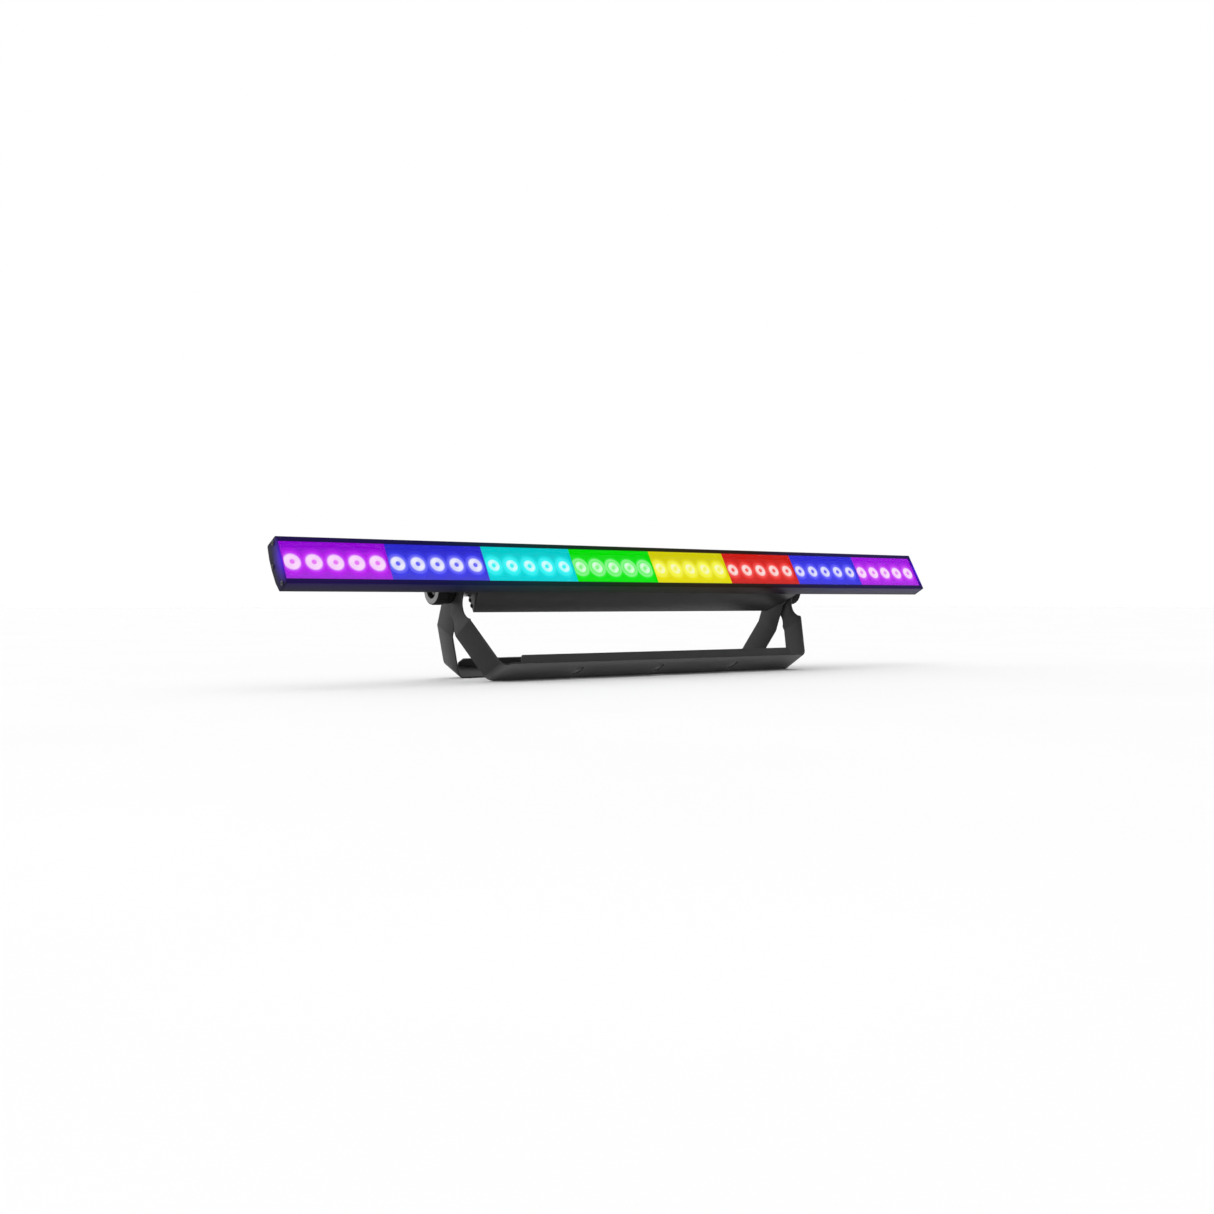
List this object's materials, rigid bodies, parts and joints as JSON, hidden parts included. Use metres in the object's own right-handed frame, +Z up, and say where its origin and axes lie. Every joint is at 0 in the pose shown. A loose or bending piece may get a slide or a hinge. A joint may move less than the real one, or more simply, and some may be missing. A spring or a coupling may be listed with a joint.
{
  "type": "led strip batten",
  "caption": "Linear light batten: a slim bar of lensed lights behind a clear window, rear electronics box, and two nested folding yokes with hand knobs.",
  "frame": {"origin": "on the floor, under the middle of the overall box", "axes": "+X along the bar to the right seen from the lit side, +Y to the back, +Z up"},
  "size_m": [0.9866, 0.1322, 0.1583],
  "materials": {
    "anodised_black": "black anodised extrusion, satin",
    "coated_black": "black fine-texture powder coat on sheet steel",
    "screw_black": "black oxide steel",
    "bright_steel": "zinc-plated steel",
    "bare_aluminium": "bare aluminium",
    "clear_cover": "clear polycarbonate cover",
    "lens": "clear moulded acrylic",
    "white_frame": "white moulded plastic",
    "white_board": "white solder mask on a circuit board",
    "green_board": "green solder mask on a circuit board",
    "bezel_black": "black printed panel overlay",
    "display_glass": "dark display window",
    "black_plastic": "black moulded nylon",
    "blue_plastic": "blue moulded nylon",
    "grey_plastic": "light grey moulded nylon",
    "button_grey": "grey moulded button cap",
    "knob_black": "black moulded hand knob, satin",
    "nylon": "natural nylon"
  },
  "bodies": {
    "front_yoke": {"front_yoke": "coated_black", "knob_washer_left": "bright_steel", "knob_washer_right": "bright_steel"},
    "rear_yoke": {"rear_yoke": "coated_black", "pivot_washer_left": "nylon", "pivot_washer_right": "nylon"},
    "head": {"bar_housing": "anodised_black", "box_end_left": "coated_black", "box_end_right": "coated_black", "box_screw_left_1": "screw_black", "box_screw_left_2": "screw_black", "box_screw_right_1": "screw_black", "box_screw_right_2": "screw_black", "box_shell": "coated_black", "control_bezel": "bezel_black", "control_board": "green_board", "data_inlet": "black_plastic", "data_outlet": "black_plastic", "display": "display_glass", "end_plate_left": "anodised_black", "end_plate_right": "anodised_black", "end_screw_left_1": "screw_black", "end_screw_left_2": "screw_black", "end_screw_left_3": "screw_black", "end_screw_right_1": "screw_black", "end_screw_right_2": "screw_black", "end_screw_right_3": "screw_black", "front_window": "clear_cover", "fuse_cap": "black_plastic", "heat_spreader": "bare_aluminium", "led_board_1": "white_board", "led_board_2": "white_board", "led_board_3": "white_board", "led_board_4": "white_board", "lens_strip_1": "lens", "lens_strip_2": "lens", "lens_strip_3": "lens", "lens_strip_4": "lens", "lens_strip_5": "lens", "lens_strip_6": "lens", "lens_strip_7": "lens", "lens_strip_8": "lens", "pivot_boss_left": "bare_aluminium", "pivot_boss_right": "bare_aluminium", "power_inlet": "blue_plastic", "power_outlet": "grey_plastic", "power_supply": "bare_aluminium", "safety_eye": "bright_steel", "section_frame": "white_frame"},
    "knob_left": {"knob_grip_left": "knob_black", "knob_bolt_left": "screw_black"},
    "knob_right": {"knob_grip_right": "knob_black", "knob_bolt_right": "screw_black"},
    "button_1": {"button_1": "button_grey"},
    "button_2": {"button_2": "button_grey"},
    "button_3": {"button_3": "button_grey"},
    "button_4": {"button_4": "button_grey"}
  },
  "joints": [
    {"name": "yoke_spread", "type": "hinge", "parent": "front_yoke", "child": "rear_yoke", "pos_m": [0, 0.01019, 0.10473], "axis": [1, 0, 0], "range_deg": [-50, 36]},
    {"name": "head_tilt", "type": "hinge", "parent": "front_yoke", "child": "head", "pos_m": [0, 0.01019, 0.10473], "axis": [1, 0, 0], "range_deg": [-108, 30]},
    {"name": "knob_left_turn", "type": "hinge", "parent": "head", "child": "knob_left", "pos_m": [-0.27, 0.01019, 0.10473], "axis": [1, 0, 0], "continuous": true},
    {"name": "knob_right_turn", "type": "hinge", "parent": "head", "child": "knob_right", "pos_m": [0.27, 0.01019, 0.10473], "axis": [1, 0, 0], "continuous": true},
    {"name": "button_1_press", "type": "slide", "parent": "head", "child": "button_1", "axis": [0, -0.8704, 0.4924], "range_m": [0, 0.0008], "stiffness_N_per_m": 400, "springref_m": -0.0006},
    {"name": "button_2_press", "type": "slide", "parent": "head", "child": "button_2", "axis": [0, -0.8704, 0.4924], "range_m": [0, 0.0008], "stiffness_N_per_m": 400, "springref_m": -0.0006},
    {"name": "button_3_press", "type": "slide", "parent": "head", "child": "button_3", "axis": [0, -0.8704, 0.4924], "range_m": [0, 0.0008], "stiffness_N_per_m": 400, "springref_m": -0.0006},
    {"name": "button_4_press", "type": "slide", "parent": "head", "child": "button_4", "axis": [0, -0.8704, 0.4924], "range_m": [0, 0.0008], "stiffness_N_per_m": 400, "springref_m": -0.0006}
  ]
}
